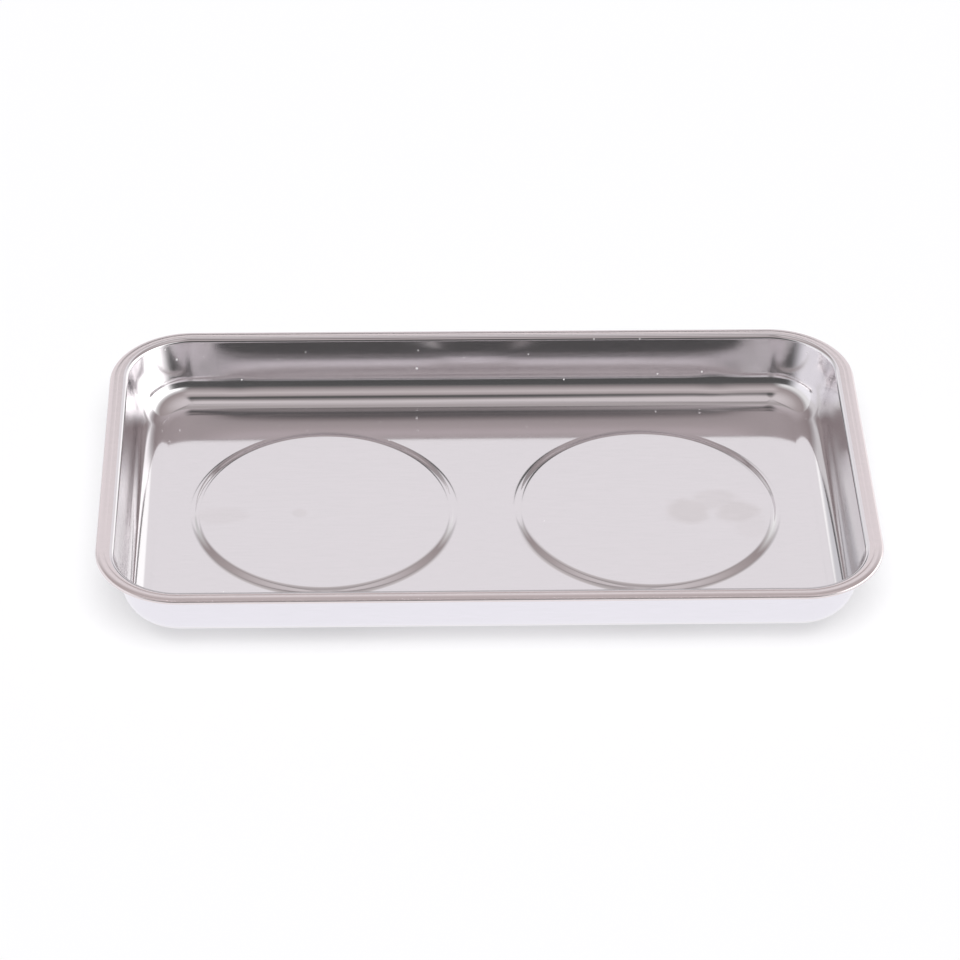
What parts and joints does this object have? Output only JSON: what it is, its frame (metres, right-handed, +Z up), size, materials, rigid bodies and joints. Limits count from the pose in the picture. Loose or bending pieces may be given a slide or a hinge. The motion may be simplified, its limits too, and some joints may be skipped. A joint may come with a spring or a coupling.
{
  "type": "magnetic parts tray",
  "caption": "Shallow rectangular steel tray with leaning walls, a folded rim and raised round seats, held to steel surfaces by ring magnets in rubber boots beneath its floor.",
  "frame": {"origin": "middle of the plan, on the plane under the boots that the tray stands on", "axes": "+X along the length, towards the right-hand seat; +Y along the width, towards the back; +Z up"},
  "size_m": [0.24, 0.14, 0.0294],
  "materials": {
    "pan_steel": "bright polished stainless",
    "boot_rubber": "matt moulded",
    "magnet_ferrite": "ground",
    "plate_steel": "zinc plated",
    "pad_adhesive": "foam tape"
  },
  "bodies": {
    "root": {"tray_pan": "pan_steel", "left_adhesive_pad": "pad_adhesive", "left_ring_magnet": "magnet_ferrite", "left_pole_plate": "plate_steel", "left_magnet_boot": "boot_rubber", "right_adhesive_pad": "pad_adhesive", "right_ring_magnet": "magnet_ferrite", "right_pole_plate": "plate_steel", "right_magnet_boot": "boot_rubber"}
  },
  "joints": []
}
